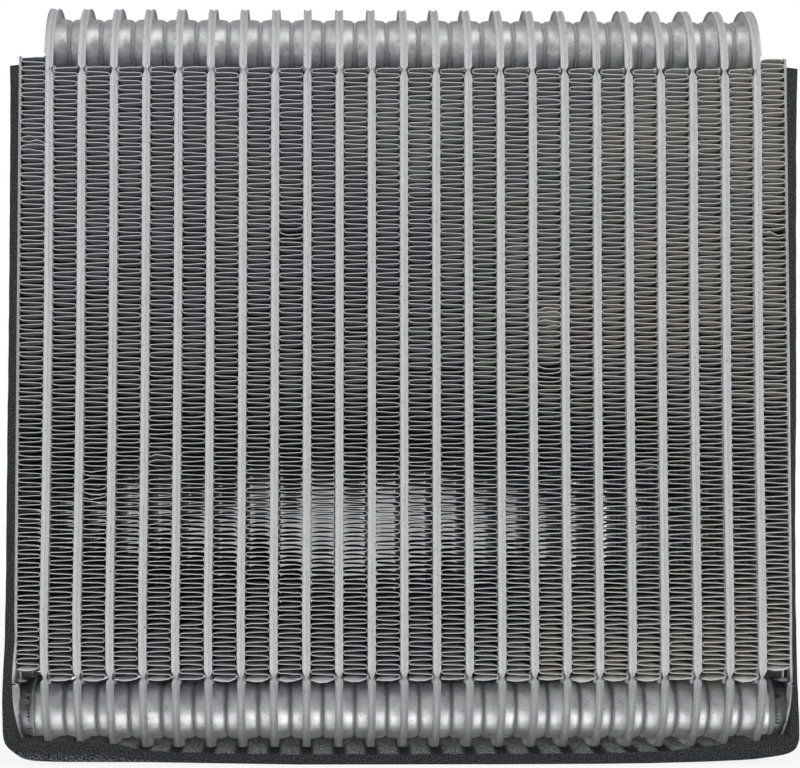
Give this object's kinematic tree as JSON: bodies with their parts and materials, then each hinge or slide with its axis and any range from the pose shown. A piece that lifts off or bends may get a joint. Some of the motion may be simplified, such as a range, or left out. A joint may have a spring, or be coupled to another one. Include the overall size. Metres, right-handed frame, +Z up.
{
  "type": "laminated evaporator core",
  "caption": "Plate-and-fin evaporator core: flat tubes of pressed plates with folded fins between, drawn-cup tanks above and below, end plates, foam seal round sides and base.",
  "frame": {"origin": "middle of the foam tape's underside, on which the core stands", "axes": "+X across the tubes, to the right as seen from the air face; +Y from the air face to the back, where the pipes are; +Z up along the tubes"},
  "size_m": [0.2602, 0.085, 0.2526],
  "materials": {
    "tube_plate": "pressed sheet, brazed, satin",
    "fin": "thin folded sheet, coated, dull",
    "end_plate": "pressed sheet, brazed, satin",
    "foam": "matte foam tape, black",
    "pipe": "drawn, satin",
    "block": "machined"
  },
  "bodies": {
    "root": {"connector_block": "block", "end_plate_left": "end_plate", "end_plate_right": "end_plate", "fin_01": "fin", "fin_02": "fin", "fin_03": "fin", "fin_04": "fin", "fin_05": "fin", "fin_06": "fin", "fin_07": "fin", "fin_08": "fin", "fin_09": "fin", "fin_10": "fin", "fin_11": "fin", "fin_12": "fin", "fin_13": "fin", "fin_14": "fin", "fin_15": "fin", "fin_16": "fin", "fin_17": "fin", "fin_18": "fin", "fin_19": "fin", "fin_20": "fin", "fin_21": "fin", "fin_22": "fin", "fin_23": "fin", "fin_24": "fin", "foam_seal": "foam", "inlet_pipe": "pipe", "outlet_pipe": "pipe", "tank_cap_left": "tube_plate", "tank_cap_right": "tube_plate", "tube_01": "tube_plate", "tube_02": "tube_plate", "tube_03": "tube_plate", "tube_04": "tube_plate", "tube_05": "tube_plate", "tube_06": "tube_plate", "tube_07": "tube_plate", "tube_08": "tube_plate", "tube_09": "tube_plate", "tube_10": "tube_plate", "tube_11": "tube_plate", "tube_12": "tube_plate", "tube_13": "tube_plate", "tube_14": "tube_plate", "tube_15": "tube_plate", "tube_16": "tube_plate", "tube_17": "tube_plate", "tube_18": "tube_plate", "tube_19": "tube_plate", "tube_20": "tube_plate", "tube_21": "tube_plate", "tube_22": "tube_plate", "tube_23": "tube_plate"}
  },
  "joints": []
}
